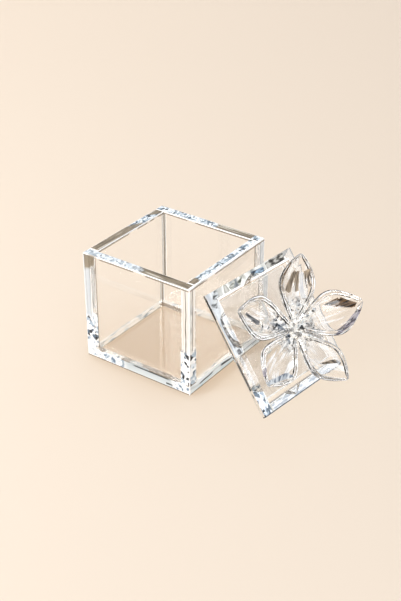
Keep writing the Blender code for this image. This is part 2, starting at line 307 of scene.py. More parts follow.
def math_node(tree, operation, *values, **settings):
    """One step of arithmetic on sockets and plain numbers."""
    node = add(tree, "ShaderNodeMath", {"operation": operation, **settings})
    for socket, value in zip(node.inputs, values):
        if isinstance(value, (int, float)):
            socket.default_value = value
        else:
            tree.links.new(value, socket)
    return node.outputs[0]


def times(tree, value, amount):
    """A value times a number."""
    return math_node(tree, "MULTIPLY", value, amount)


def inverse(tree, mask):
    """1 where a mask is 0."""
    return math_node(tree, "SUBTRACT", 1.0, mask)


def highest(tree, first, *others):
    """The greatest of some masks."""
    for other in others:
        first = math_node(tree, "MAXIMUM", first, other)
    return first


def both(tree, first, *others):
    """Where all of some masks are."""
    for other in others:
        first = math_node(tree, "MULTIPLY", first, other)
    return first


def above(tree, value, limit):
    """1 where a value is over limit."""
    return math_node(tree, "GREATER_THAN", value, limit)


def below(tree, value, limit):
    """1 where a value is under limit."""
    return math_node(tree, "LESS_THAN", value, limit)


def beyond(tree, value, limit):
    """1 where a coordinate is further from the middle than limit."""
    return above(tree, math_node(tree, "ABSOLUTE", value), limit)


def within(tree, value, low, high):
    """1 where a coordinate lies between low and high."""
    return both(tree, above(tree, value, low), below(tree, value, high))


def rise(tree, value, low, high, least=0.0, most=1.0):
    """A smooth step from least to most while value goes from low to high."""
    node = add(tree, "ShaderNodeMapRange", {"interpolation_type": "SMOOTHSTEP"}, {"Value": value})
    for name, number in (("From Min", low), ("From Max", high), ("To Min", least), ("To Max", most)):
        node.inputs[name].default_value = number
    return node.outputs[0]


def faded(tree, value, start, end):
    """1 along a stretch that fades in over start and out over end."""
    return both(tree, rise(tree, value, *start), rise(tree, value, *end))


def noise(tree, place, size, detail=1.0, shift=0.0):
    """Smooth noise whose features are about size metres across. Another shift gives another pattern."""
    node = add(
        tree, "ShaderNodeTexNoise", {"noise_dimensions": "4D"}, {"Vector": place},
        Scale=1 / size, Detail=detail, W=shift,
    )
    return node.outputs["Fac"]


def stray(tree, place, size, **settings):
    """Smooth noise to either side of 0."""
    return math_node(tree, "SUBTRACT", noise(tree, place, size, **settings), 0.5)


def patchy(tree, place, size, low, high, least=0.0, most=1.0, shift=0.0):
    """Patches about size metres across, from least to most where the noise goes from low to high."""
    return rise(tree, noise(tree, place, size, shift=shift), low, high, least, most)


def ramp(tree, value, *stops, smooth=True):
    """A colour for each value, from (place, hex colour) stops."""
    node = add(tree, "ShaderNodeValToRGB", None, {0: value})
    colours = node.color_ramp
    colours.interpolation = "LINEAR" if smooth else "CONSTANT"
    for i, (place, colour) in enumerate(stops):
        stop = colours.elements[i] if i < 2 else colours.elements.new(place)
        stop.position = place
        stop.color = linear(colour)
    return node.outputs["Color"]


def tinted(tree, amount, first, second):
    """A colour from first to second, each a hex colour or a socket, as amount goes from 0 to 1."""
    mix = add(tree, "ShaderNodeMix", {"data_type": "RGBA"})
    for name, value in (("Factor", amount), ("A", first), ("B", second)):
        if isinstance(value, str):
            mix.inputs[name].default_value = linear(value)
        else:
            tree.links.new(value, mix.inputs[name])
    return mix.outputs["Result"]


def layered(tree, colour, *layers):
    """A colour with others laid over it in turn, each where its mask is."""
    for mask, upper in layers:
        colour = tinted(tree, mask, colour, upper)
    return colour


def in_frame(tree, turn=None):
    """Object coordinates, in the lid's own frame where turn is given."""
    place = add(tree, "ShaderNodeTexCoord").outputs["Object"]
    if turn is None:
        return place
    mapping = add(tree, "ShaderNodeMapping", {"vector_type": "TEXTURE"}, {"Vector": place})
    mapping.inputs["Location"].default_value = turn.to_translation()
    mapping.inputs["Rotation"].default_value = turn.to_euler()
    return mapping.outputs[0]


def parts(tree, place):
    """The x, y and z of a place."""
    return add(tree, "ShaderNodeSeparateXYZ", None, {0: place}).outputs


def bent(tree, place, size, amount):
    """The place, moved about by amount metres in waves of size metres."""
    waves = add(tree, "ShaderNodeTexNoise", None, {"Vector": place}, Scale=1 / size, Detail=1.0)
    centred = add(tree, "ShaderNodeVectorMath", {"operation": "SUBTRACT"}, {0: waves.outputs["Color"]})
    centred.inputs[1].default_value = (0.5, 0.5, 0.5)
    scaled = add(tree, "ShaderNodeVectorMath", {"operation": "SCALE"}, {0: centred.outputs[0]})
    scaled.inputs["Scale"].default_value = 2 * amount
    moved = add(tree, "ShaderNodeVectorMath", {"operation": "ADD"}, {0: place, 1: scaled.outputs[0]})
    return moved.outputs[0]


def stretched(tree, place, scale, turn=(0, 0, 0)):
    """The place, turned and scaled, so that a pattern read there lies drawn out one way."""
    mapping = add(tree, "ShaderNodeMapping", None, {"Vector": place})
    mapping.inputs["Rotation"].default_value = turn
    mapping.inputs["Scale"].default_value = scale
    return mapping.outputs[0]


def chips(tree, place, size, *stops):
    """Colours of small facets about size metres across, which lie slanted and have sharp borders."""
    slanted = stretched(tree, bent(tree, place, 3 * size, 0.8 * size), (1.0, 0.6, 1.0), (0.5, 0.4, 0.7))
    cells = add(tree, "ShaderNodeTexVoronoi", None, {"Vector": slanted}, Scale=1 / size)
    part = add(tree, "ShaderNodeSeparateColor", None, {"Color": cells.outputs["Color"]}).outputs["Red"]
    return ramp(tree, part, *stops, smooth=False)


def facet(tree, place, start, end, widths):
    """1 inside a long facet that runs from start to end, with its half widths there."""
    run = Vector(end) - Vector(start)
    inside = add(tree, "ShaderNodeMapping", {"vector_type": "TEXTURE"}, {"Vector": place})
    inside.inputs["Location"].default_value = (*start, 0)
    inside.inputs["Rotation"].default_value = (0, 0, math.atan2(run.y, run.x))
    along, across, _ = parts(tree, inside.outputs[0])
    slope = (widths[1] - widths[0]) / run.length
    room = math_node(tree, "ADD", times(tree, along, slope), widths[0])
    narrow = below(tree, math_node(tree, "ABSOLUTE", across), room)
    return both(tree, narrow, within(tree, along, 0.0, run.length))


def with_painted_facets(tree, place, facets, colour, drawn_out, streak):
    """The colour with streaky facets of painted reflection laid over it, and 1 where a facet is."""
    streaks = noise(tree, drawn_out, streak)
    masks = []
    for start, end, widths, dark, light in facets:
        mask = facet(tree, place, *((a * MM, b * MM) for a, b in (start, end, widths)))
        colour = tinted(tree, mask, colour, ramp(tree, streaks, (0.40, dark), (0.58, light)))
        masks.append(mask)
    return colour, highest(tree, *masks)


def wavy(tree, body, place, size, depth, strength=0.5):
    """Gentle waves in a polished surface."""
    waves = noise(tree, place, size)
    bump = add(tree, "ShaderNodeBump", None, {"Height": waves}, Strength=strength, Distance=depth)
    feed(tree, body, Normal=bump.outputs["Normal"])


def clear_glass(tree, shade):
    """The shader of clear glass, and a mix that lets rays to the lamps straight through."""
    body = add(tree, "ShaderNodeBsdfPrincipled", Roughness=0.0, IOR=1.5, Transmission_Weight=1.0)
    clear = add(tree, "ShaderNodeBsdfTransparent", Color=linear(shade))
    path = add(tree, "ShaderNodeLightPath").outputs
    light = math_node(tree, "MAXIMUM", path["Is Shadow Ray"], path["Is Diffuse Ray"])
    mix = add(tree, "ShaderNodeMixShader", None, {0: light, 1: body.outputs[0], 2: clear.outputs[0]})
    add(tree, "ShaderNodeOutputMaterial", None, {"Surface": mix.outputs[0]})
    return body


def new_glass(name, shade=CLEAR):
    """A new material of clear glass, its node tree, and the shader that patterns are fed to."""
    material = bpy.data.materials.new(name)
    material.use_nodes = True
    tree = material.node_tree
    tree.nodes.clear()
    return material, tree, clear_glass(tree, shade)


def painted_rim_reflections(tree, place, x, y):
    """What the box's rim shows over its real mirror: painted reflections of silver chips along some stretches
    and of brown smoke along the others, with a painted white highlight along its right side.
    """
    waver = times(tree, stray(tree, place, 9 * MM), RIM_WAVER)
    place_x = math_node(tree, "ADD", x, waver)
    place_y = math_node(tree, "ADD", y, waver)
    along = beyond(tree, y, INNER)
    lengthways = both(tree, along, rise(tree, place_x, *LENGTHWAYS_SILVER))
    right = both(tree, above(tree, x, INNER), rise(tree, place_y, *RIGHT_SILVER))
    left = both(tree, beyond(tree, x, INNER), faded(tree, place_y, *LEFT_SILVER))
    # Painted reflection: silver chips, paler towards the front
    silver = chips(
        tree, place, RIM_CHIP,
        (0.0, "#323C46"), (0.08, "#5F707F"), (0.22, "#8D9CA8"), (0.40, "#B8C4CF"), (0.60, "#DEE5EB"),
    )
    pale = both(tree, lengthways, rise(tree, y, 0.0, -HALF, 0.0, RIM_PALING))
    silver = tinted(tree, pale, silver, "#CED6DE")
    grain_x = noise(tree, stretched(tree, place, (RIM_GRAIN_DRAW, 1.0, 1.0)), RIM_GRAIN)
    grain_y = noise(tree, stretched(tree, place, (1.0, RIM_GRAIN_DRAW, 1.0)), RIM_GRAIN)
    grain = add(tree, "ShaderNodeMix", None, {"Factor": along, "A": grain_y, "B": grain_x}).outputs[0]
    # Painted reflection: streaky brown smoke
    smoke = ramp(
        tree, grain,
        (0.30, "#453C2F"), (0.42, "#6C604F"), (0.5, "#877A68"), (0.56, "#665B4A"), (0.64, "#BAB3A6"),
    )
    colour = tinted(tree, highest(tree, lengthways, right, left), smoke, silver)
    return tinted(tree, above(tree, x, HALF - RIM_STRIPE), colour, "#FFFFFF")


def painted_post_reflections(tree, place, x, y, front_side):
    """The painted reflections down each corner, standing for the polished edges of two panes mirroring each
    other: white, grey and dark lines, and warmer in the front right corner.
    """
    from_middle = math_node(tree, "ADD", *(math_node(tree, "ABSOLUTE", value) for value in (x, y)))
    from_corner = math_node(tree, "SUBTRACT", SIDE, from_middle)
    shaky = times(tree, noise(tree, stretched(tree, place, (1, 1, 0.2)), 3 * MM), POST_SHAKE)
    share = math_node(tree, "ADD", math_node(tree, "DIVIDE", from_corner, POST), shaky)
    lines = ramp(
        tree, share,
        (0.14, "#F2F6FA"), (0.42, "#D2DBE4"), (0.46, "#8E9092"), (0.50, "#DCE4EC"), (0.92, "#CAD4DE"),
        (0.98, "#6E6A64"), (1.0, "#6E6A64"), (1.0, "#FFFFFF"),
    )
    warm = ramp(
        tree, share,
        (0.14, "#F6F6F6"), (0.40, "#E4E2DE"), (0.55, "#F2F1EF"), (0.59, "#6A655A"), (0.66, "#6A655A"),
        (0.70, "#F8F6F4"), (0.92, "#EAE5DE"), (1.0, "#FFFFFF"),
    )
    return tinted(tree, both(tree, above(tree, x, 0.0), front_side), lines, warm)


def painted_foot_reflections(tree, place, x, z, front_side):
    """Painted reflections of what the base pane's polished edges mirror: slanted strokes of white and blue,
    a calm stretch with two painted dark lines in the middle of the front, and level streaks along the
    right side.
    """
    slanted = stretched(tree, bent(tree, place, 6 * MM, 1 * MM), (1.0, 0.35, 1.0), (0.5, 0.5, 0.6))
    strokes = ramp(
        tree, noise(tree, slanted, FOOT_STROKE, detail=1.5),
        (0.32, "#6F8398"), (0.38, "#A9BBCD"), (0.43, "#DCE8F3"), (0.48, "#FFFFFF"), (0.60, "#FFFFFF"),
        (0.66, "#C6CFD8"),
    )
    calm = both(tree, front_side, faded(tree, x, *CALM_FOOT))
    plain = ramp(tree, z, (1 * MM, "#D8E2E6"), (GLASS, "#B6C0C8"))
    upper = both(tree, within(tree, z, *UPPER_LINE), faded(tree, x, *UPPER_STRETCH))
    lower = both(tree, within(tree, z, *LOW_LINE), within(tree, x, *LOW_STRETCH))
    shaky = stray(tree, stretched(tree, place, (1.0, 0.15, 1.0)), 3 * MM, shift=9.0)
    level = math_node(tree, "ADD", math_node(tree, "DIVIDE", z, GLASS), shaky)
    streaks = ramp(
        tree, level,
        (0.05, "#FFFFFF"), (0.2, "#C4DCE8"), (0.42, "#DCEAF4"), (0.5, "#2E3C4A"), (0.64, "#4E5C6A"),
        (0.72, "#EAF4FF"),
    )
    fitful = patchy(tree, place, 10 * MM, 0.42, 0.52, 0.25, 1.0, shift=6.0)
    return layered(
        tree, strokes,
        (calm, plain),
        (both(tree, calm, highest(tree, upper, lower)), "#464C50"),
        (above(tree, x, HALF - BOND), tinted(tree, fitful, "#E8F2F8", streaks)),
    )


def box_glass(name, shade):
    """Polished float glass. Light that is trapped in the panes comes out at their edges, and that is painted
    on: the rim is a real mirror of the sky with painted silver and smoke over it, and the corners and the
    base have painted white and blue sparkles, painted shade and painted shadow lines.
    """
    material, tree, body = new_glass(name, shade)
    place = in_frame(tree)
    x, y, z = parts(tree, place)
    edges = [beyond(tree, value, INNER) for value in (x, y)]
    border = highest(tree, *edges)
    front_side = below(tree, y, 0.0)
    front_corner = both(tree, *edges, front_side)
    upright = within(tree, z, 0.0, RIM_BOTTOM)
    rim = above(tree, z, RIM_BOTTOM)
    post = both(tree, *(beyond(tree, value, HALF - POST) for value in (x, y)), upright)
    # Painted sparkles: chips of white and blue glints low on the front corners
    low = both(tree, rise(tree, z, SPARKLE_TOP, SPARKLE_TOP - SPARKLE_FADE), front_corner)
    sparkles = chips(
        tree, place, SPARKLE_CHIP,
        (0.0, "#1E2732"), (0.12, "#5E6F80"), (0.22, "#A9BACA"), (0.36, "#E6EFF8"), (0.5, "#FAFCFF"),
    )
    # Painted smoky shade high on the front left corner
    ragged = math_node(tree, "ADD", z, times(tree, stray(tree, place, 9 * MM), RIM_WAVER * CORNER_SHADE_WAVER))
    painted_corner_shade = both(
        tree, within(tree, x, CORNER_SHADE_INSET - HALF, POST - HALF), front_corner, below(tree, x, 0.0),
        rise(tree, ragged, *CORNER_SHADE_BOTTOM), upright,
    )
    foot = both(tree, border, below(tree, z, GLASS + BOND))
    # Painted shadow lines: below the rim, and along the top of the front of the foot
    rim_line = within(tree, z, RIM_BOTTOM - OUTLINE, RIM_BOTTOM)
    rim_line = both(tree, rim_line, patchy(tree, place, 12 * MM, 0.36, 0.42, shift=3.0))
    foot_line = both(tree, below(tree, y, -INNER), within(tree, z, GLASS - HEM, GLASS))
    foot_line = both(tree, foot_line, patchy(tree, place, 14 * MM, 0.50, 0.53))
    # Painted contact shadow along the foot of the box
    painted_contact_shadow = both(tree, border, within(tree, z, BOND, HEM))
    nook = both(tree, *(
        within(tree, math_node(tree, "ABSOLUTE", value), INNER - SEAM, INNER + BOND) for value in (x, y)
    ))
    outside = highest(tree, *(beyond(tree, value, INNER + OUTLINE / 2) for value in (x, y)))
    seam = math_node(tree, "SUBTRACT", foot, outside)
    # Painted shade on the underside of the base, below the back wall
    behind = both(tree, above(tree, y, INNER), below(tree, x, BASE_SHADE), below(tree, z, BOND))
    # Over white: painted reflections, sparkles, smoky shade, back shade, shadow lines, contact shadow, dark
    # seams
    colour = layered(
        tree, "#FFFFFF",
        (rim, painted_rim_reflections(tree, place, x, y)),
        (post, painted_post_reflections(tree, place, x, y, front_side)),
        (low, sparkles),
        (painted_corner_shade, "#8F8574"),
        (foot, painted_foot_reflections(tree, place, x, z, front_side)),
        (behind, "#8C7D6A"),
        (seam, "#7A7468"),
        (highest(tree, rim_line, foot_line), "#8A8073"),
        (painted_contact_shadow, "#7C6E5C"),
        (nook, "#857D70"),
    )
    veiled = times(tree, highest(tree, low, foot), SPARKLE_VEIL)
    lines = times(tree, highest(tree, painted_corner_shade, rim_line, foot_line, post, nook), LINE_VEIL)
    seen_through = inverse(tree, highest(tree, veiled, lines))
    feed(tree, body, Base_Color=colour, Metallic=times(tree, rim, SILVER), Transmission_Weight=seen_through)
    return material


def painted_lid_reflections(tree, place, y, left):
    """What the polished chamfer round the lid mirrors, as painted reflections: silver and white patches,
    finer ones on the left that break up into chips at their lower end, and long dark and bright facets.
    """
    slanted = stretched(tree, bent(tree, place, 12 * MM, 2 * MM), (1.0, 0.45, 1.0), (0, 0, 0.9))
    silver = ramp(
        tree, noise(tree, slanted, LID_PATCH, detail=1.5, shift=1.0),
        (0.30, "#70767A"), (0.38, "#A8ACAA"), (0.44, "#CACAC6"), (0.50, "#E2E2DE"), (0.57, "#F0F0EC"),
        (0.63, "#A6A69E"), (0.69, "#DCDAD4"),
    )
    along_side = stretched(tree, bent(tree, place, 9 * MM, 1 * MM), (1.0, 0.25, 1.0))
    calm = ramp(
        tree, noise(tree, along_side, LID_SIDE_PATCH, detail=1.5),
        (0.34, "#8C9094"), (0.40, "#BEC2C6"), (0.54, "#D2D6DA"), (0.62, "#F4F6F6"),
    )
    silver = tinted(tree, left, silver, calm)
    drawn_out = stretched(tree, place, (0.3, 1.0, 1.0), (0, 0, 0.15))
    silver, _ = with_painted_facets(tree, place, LID_FACETS, silver, drawn_out, LID_STREAK)
    flakes = chips(
        tree, place, LID_CHIP,
        (0.0, "#28303A"), (0.10, "#6E7A86"), (0.26, "#A8B6C4"), (0.46, "#D0DAE4"), (0.66, "#F0F4F8"),
    )
    chipped = both(tree, left, rise(tree, y, CLEAR_STRETCH[0] + CHIPS_FADE, CLEAR_STRETCH[0]))
    return tinted(tree, chipped, silver, flakes)


def lid_glass(name):
    """The lid's polished plate glass, whose chamfered border mirrors the sky, with painted reflections of
    long silver, white and dark patches over it, a painted highlight along its inner side and painted dark
    lines along its outer side.
    """
    material, tree, body = new_glass(name)
    place = in_frame(tree, LID)
    x, y, z = parts(tree, place)
    left = below(tree, x, LID_LEFT_BAND - HALF)
    band = highest(tree, left, above(tree, x, HALF - LID_BAND), beyond(tree, y, HALF - LID_BAND))
    stripe_end = HALF - LID_BAND - LID_STRIPE
    core = within(tree, x, LID_LEFT_BAND - HALF + ARRIS, HALF - LID_BAND - ARRIS)
    core = both(tree, core, within(tree, y, LID_BAND - HALF + ARRIS, stripe_end))
    inner_line = math_node(tree, "SUBTRACT", inverse(tree, core), band)
    beside = both(tree, core, above(tree, y, stripe_end - LID_STRIPE_LINE))
    side = highest(tree, *(beyond(tree, value, HALF - FACE_ROOM) for value in (x, y)))
    dashes = patchy(tree, stretched(tree, place, (1.0, 0.3, 1.0)), 2.4 * MM, 0.52, 0.56, shift=5.0)
    unbroken = highest(tree, rise(tree, y, *LINE_TOP), above(tree, x, GAP - HALF))
    outer_line = both(tree, side, below(tree, z, GLASS - OUTLINE), highest(tree, dashes, unbroken))
    bold = highest(tree, *(within(tree, y, *stretch) for stretch in BOLD_STRETCHES))
    bold = both(tree, side, left, below(tree, z, GLASS - GAP), bold)
    clear = both(tree, left, within(tree, y, *CLEAR_STRETCH))
    clear = highest(tree, above(tree, x, CLEAR_CORNER), clear)
    # Painted reflections in the border, and painted dark lines beside the highlight and along the lower and
    # outer sides
    colour = layered(
        tree, "#FFFFFF",
        (band, tinted(tree, clear, painted_lid_reflections(tree, place, y, left), "#FFFFFF")),
        (side, "#FFFFFF"),
        (beside, "#A89C8C"),
        (below(tree, y, LOWER_LINE - HALF), "#5A6068"),
        (highest(tree, outer_line, bold), "#3A3F46"),
    )
    silvered = math_node(tree, "SUBTRACT", SILVER, times(tree, clear, SILVER * CLEAR_LOSS))
    mirror = highest(tree, both(tree, band, silvered), times(tree, inner_line, STRIPE_SILVER))
    feed(tree, body, Base_Color=colour, Metallic=mirror)
    return material


def plain_glass(name, ripple, strength):
    """Clear glass with nothing but a ripple in it: faint in polished plate, stronger where it was drawn
    and melted over a flame.
    """
    material, tree, body = new_glass(name)
    wavy(tree, body, in_frame(tree), ripple, 1.0 * MM, strength)
    return material


def ground_glass(name):
    """Ground glass, as on an arris: it scatters light and shows as a white line, grey here and there."""
    material, tree, body = new_glass(name, "#F8F5F0")
    body.inputs["Roughness"].default_value = 0.3
    body.inputs["Transmission Weight"].default_value = 0.1
    patches = noise(tree, in_frame(tree), 14 * MM)
    greys = ramp(tree, patches, (0.32, "#A8A197"), (0.40, "#F4F6F8"), (0.5, "#FFFFFF"))
    feed(tree, body, Base_Color=greys)
    return material


def moulded_glass(name, milk, cracks, facets):
    """Fire-polished moulded glass, a little wavy. Long streaks of fine seed in it look like milk, its root
    is full of fine cracks, and its facets carry painted reflections of what is dark round it.
    """
    material, tree, body = new_glass(name)
    flat = add(tree, "ShaderNodeUVMap").outputs["UV"]
    drawn_out = stretched(tree, flat, *PETAL_DRAW)
    wavy(tree, body, drawn_out, 3 * MM, 0.6 * MM)
    place = in_frame(tree)
    root = rise(tree, parts(tree, flat)["Y"], cracks, cracks - CRACKLE_FADE)
    crackle = chips(
        tree, place, CRACKLE_CHIP,
        (0.0, "#1A1D22"), (0.07, "#868C94"), (0.18, "#D4D8DC"), (0.4, "#FFFFFF"),
    )
    colour = tinted(tree, root, "#FFFFFF", crackle)
    colour, cover = with_painted_facets(tree, flat, facets, colour, drawn_out, FACET_STREAK)
    seed = patchy(tree, drawn_out, 2.2 * MM, 0.52, 0.68, 0.0, milk)
    crackled = both(tree, root, patchy(tree, place, 2.5 * MM, 0.42, 0.56, shift=7.0))
    veil = highest(tree, seed, times(tree, crackled, CRACKLE_VEIL), times(tree, cover, FACET_VEIL))
    feed(tree, body, Base_Color=colour, Transmission_Weight=inverse(tree, veil))
    return material


def rim_glass(name, facets):
    """The thick, rounded, fire-polished rim of a petal, with white lines of painted highlight, partly a
    mirror, and painted dark lines beside them, and the petal's painted facets run on over it.
    """
    material, tree, body = new_glass(name)
    place = in_frame(tree)
    wavy(tree, body, place, 8 * MM, 1.0 * MM)
    turn = add(tree, "ShaderNodeAttribute", {"attribute_name": "rim"}).outputs["Fac"]
    drift = times(tree, stray(tree, place, 4 * MM, detail=1.5, shift=8.0), RIM_DRIFT)
    turn = math_node(tree, "ADD", turn, drift)
    # Painted highlights and painted dark lines across the rim
    lines = ramp(
        tree, turn,
        (0.0, "#12100E"), (0.17, "#2E2C2A"), (0.22, "#FFFFFF"), (0.45, "#FFFFFF"), (0.50, "#6C6A68"),
        (0.55, "#FFFFFF"), (0.80, "#FFFFFF"), (0.85, "#2E2C2A"), (1.0, "#12100E"),
    )
    fading = patchy(tree, place, 6 * MM, 0.34, 0.44, shift=2.0)
    colour = tinted(tree, fading, "#FFFFFF", lines)
    flat = add(tree, "ShaderNodeUVMap").outputs["UV"]
    drawn_out = stretched(tree, flat, *PETAL_DRAW)
    colour, cover = with_painted_facets(tree, flat, facets, colour, drawn_out, FACET_STREAK)
    dark = both(tree, highest(tree, *(rise(tree, turn, *fade) for fade in RIM_DARKS)), fading)
    veil = highest(tree, times(tree, dark, RIM_DARK_VEIL), times(tree, cover, FACET_VEIL))
    white = highest(tree, *(faded(tree, turn, *fades) for fades in RIM_WHITES))
    fitful = patchy(tree, place, 7 * MM, 0.36, 0.5, 0.2, 0.9)
    mirror = both(tree, white, fitful, inverse(tree, cover))
    feed(tree, body, Base_Color=colour, Metallic=mirror, Transmission_Weight=inverse(tree, veil))
    return material


def cut_glass():
    """Cut and lampworked glass, with painted sparkles of white, grey and a little black from facet to facet.
    """
    material, tree, body = new_glass("cut bead glass")
    place = in_frame(tree)
    painted_glints = chips(
        tree, place, 1.1 * MM,
        (0.0, "#14171B"), (0.08, "#9AA2AA"), (0.15, "#DDE2E6"), (0.26, "#FFFFFF"),
    )
    mirror = patchy(tree, place, 2.5 * MM, 0.46, 0.60, 0.0, 0.4)
    seen_through = patchy(tree, place, 2 * MM, 0.42, 0.56, 0.9, 0.35, shift=4.0)
    feed(tree, body, Base_Color=painted_glints, Metallic=mirror, Transmission_Weight=seen_through)
    return material


def placed(name, data):
    """A new object in the scene, at the origin, that shows its data."""
    made = bpy.data.objects.new(name, data)
    scene.collection.objects.link(made)
    return made


def piece(name, shape, body, materials, slot, *nodes, place=Matrix()):
    """A bmesh, moved to its place, as a named piece that rides on a body and stands for CAD nodes."""
    bmesh.ops.transform(shape, matrix=place, verts=shape.verts)
    bmesh.ops.recalc_face_normals(shape, faces=shape.faces)
    mesh = bpy.data.meshes.new(name)
    shape.to_mesh(mesh)
    shape.free()
    for material in materials:
        mesh.materials.append(material)
    made = placed(name, mesh)
    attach(made, body)
    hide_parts(*nodes)
    return made


def slab(low, high, bare):
    """A pane from its low to its high corner, with a ground arris on each edge that bare says yes to."""
    shape = bmesh.new()
    bmesh.ops.create_cube(shape, size=1.0)
    bmesh.ops.scale(shape, vec=Vector(high) - Vector(low), verts=shape.verts)
    bmesh.ops.translate(shape, vec=(Vector(low) + Vector(high)) / 2, verts=shape.verts)
    bmesh.ops.bevel(
        shape, geom=[edge for edge in shape.edges if bare(edge)], offset=ARRIS, offset_type="OFFSET",
        affect="EDGES", segments=ARRIS_STEPS, profile=0.5, material=1,
    )
    return shape


def on_outside(edge):
    """Whether a pane's edge is an edge of the whole open box, outside or round its mouth."""
    first, second = (vertex.co for vertex in edge.verts)
    same = [abs(a - b) < GAP for a, b in zip(first, second)]
    faces = [abs(abs(first[i]) - HALF) < GAP for i in (0, 1)]
    mouth = [abs(abs(first[i]) - INNER) < GAP for i in (0, 1)]
    top = abs(first.z - BODY_HEIGHT) < GAP
    if same[2]:
        side = 0 if same[0] else 1
        return top and (faces[side] or mouth[side])
    return all(faces)


def lid_place():
    """From the lid's own frame to the world: x along its lower edge, y up its lean, z out of its face."""
    along = Vector((-math.sin(SKEW), math.cos(SKEW), 0))
    outward = Vector((math.cos(SKEW), math.sin(SKEW), 0))
    normal = outward * math.cos(LEAN) + Vector((0, 0, math.sin(LEAN)))
    upward = normal.cross(along)
    touch = (upward - along) * LOCATOR_SIDE / 2 - normal * (LOCATOR_THICKNESS + GAP)
    foot = -upward * HALF + normal * LID_CHAMFER
    middle = Vector((HALF + GAP - touch.x, LID_MIDDLE_Y, -foot.z))
    return Matrix.Translation(middle) @ Matrix((along, upward, normal)).transposed().to_4x4()


LID = lid_place()
PANE_GLASS = box_glass("float glass", "#FBF9F6")
BASE_GLASS = box_glass("float base glass", "#E9E0D3")
LID_GLASS = lid_glass("chamfered plate glass")
LOCATOR_GLASS = plain_glass("thin plate glass", 20 * MM, 0.1)
GROUND_GLASS = ground_glass("ground arris glass")
CUT_GLASS = cut_glass()
LAMPWORKED_GLASS = plain_glass("lampworked drop glass", 8 * MM, 0.5)

PANES = {
    "base_pane": ((-HALF, -HALF, 0), (HALF, HALF, GLASS + BOND)),
    "front_wall": ((-HALF, -HALF, GLASS), (HALF, -INNER, BODY_HEIGHT)),
    "back_wall": ((-HALF, INNER, GLASS), (HALF, HALF, BODY_HEIGHT)),
    "left_wall": ((-HALF, -INNER - BOND, GLASS), (-INNER, INNER + BOND, BODY_HEIGHT)),
    "right_wall": ((INNER, -INNER - BOND, GLASS), (HALF, INNER + BOND, BODY_HEIGHT)),
}
for name, (low, high) in PANES.items():
    glass = BASE_GLASS if name == "base_pane" else PANE_GLASS
    piece(name + "_glass", slab(low, high, on_outside), "box", (glass, GROUND_GLASS), "pane_glass", name)

# The lid's plate, whose underside is narrowed to leave the chamfer round it
land = GLASS - LID_CHAMFER
plate = bmesh.new()
bmesh.ops.create_cube(plate, size=1.0)
bmesh.ops.scale(plate, vec=(SIDE, SIDE, land), verts=plate.verts)
bmesh.ops.translate(plate, vec=(0, 0, GLASS - land / 2), verts=plate.verts)
under = min(plate.faces, key=lambda face: face.calc_center_median().z)
bmesh.ops.inset_region(plate, faces=[under], thickness=LID_CHAMFER, depth=0.0)
bmesh.ops.translate(plate, vec=(0, 0, -LID_CHAMFER), verts=under.verts)
piece("lid_plate_glass", plate, "lid", (LID_GLASS,), "lid_glass", "lid_plate", place=LID)

locator_half = LOCATOR_SIDE / 2
locator = slab(
    (-locator_half, -locator_half, -LOCATOR_THICKNESS), (locator_half, locator_half, BOND),
    lambda edge: max(vertex.co.z for vertex in edge.verts) < -LOCATOR_THICKNESS / 2,
)
glasses = (LOCATOR_GLASS, GROUND_GLASS)
piece("locating_plate_glass", locator, "lid", glasses, "lid_glass", "locating_plate", place=LID)


def petal_width(t, radius):
    """Half the petal's width: a leaf that narrows near its root, where its neighbours leave less room."""
    leaf = PETAL_HALF_WIDTH * math.sin(math.pi * petal_fraction(t)) ** PETAL_FULLNESS
    room = radius * math.tan(PETAL_ROOM)
    return (leaf ** -PETAL_CROWDING + room ** -PETAL_CROWDING) ** (-1 / PETAL_CROWDING)


def petal_fraction(t):
    """Where t, from 0 at the root to 1 at the tip, lies on the full leaf shape."""
    return PETAL_ROOT_FRACTION + (PETAL_TIP_FRACTION - PETAL_ROOT_FRACTION) * t


def rim_height(rim, angle):
    """The rim is two beads side by side, with a groove between them."""
    return RIM_ROUND * rim * (math.sin(angle) - RIM_GROOVE * math.sin(angle) ** 4)


def petal_section(t, reach, tip_height):
    """The crescent that the petal is at t: its outside, a rounded rim, its inside and the other rim."""
    root = SEAT_RADIUS + GAP
    x = root + (reach - root) * t
    z = PETAL_ROOT_HEIGHT + (tip_height - PETAL_ROOT_HEIGHT) * t ** PETAL_CURL
    width = petal_width(t, x)
    depth = PETAL_DEPTH * math.sin(math.pi * petal_fraction(t)) ** PETAL_CUP_FULLNESS
    inner_width = max(width - PETAL_RIM, HOLLOW_LEAST_WIDTH * width)
    inner_depth = max(depth - PETAL_FLOOR, HOLLOW_LEAST_DEPTH * depth)
    rim = (width - inner_width) / 2
    outer_angles = [math.pi * i / (OUTER_POINTS - 1) for i in range(OUTER_POINTS)]
    rim_angles = [math.pi * i / RIM_POINTS for i in range(1, RIM_POINTS)]
    inner_angles = [math.pi * i / (INNER_POINTS - 1) for i in range(INNER_POINTS)]
    return [
        *((x, -width * math.cos(a), z - depth * math.sin(a)) for a in outer_angles),
        *((x, width - rim + rim * math.cos(a), z + rim_height(rim, a)) for a in rim_angles),
        *((x, inner_width * math.cos(a), z - inner_depth * math.sin(a)) for a in inner_angles),
        *((x, -inner_width - rim + rim * math.cos(a), z + rim_height(rim, a)) for a in rim_angles),
    ]


def rim_turn(place, count):
    """How far round the rim a point of the section lies: 0 on the petal's outside, 1 on its inside."""
    if place < OUTER_POINTS:
        return 0.0
    if place < OUTER_POINTS + RIM_POINTS:
        return (place - OUTER_POINTS + 1) / RIM_POINTS
    return min(1.0, (count - place) / RIM_POINTS)


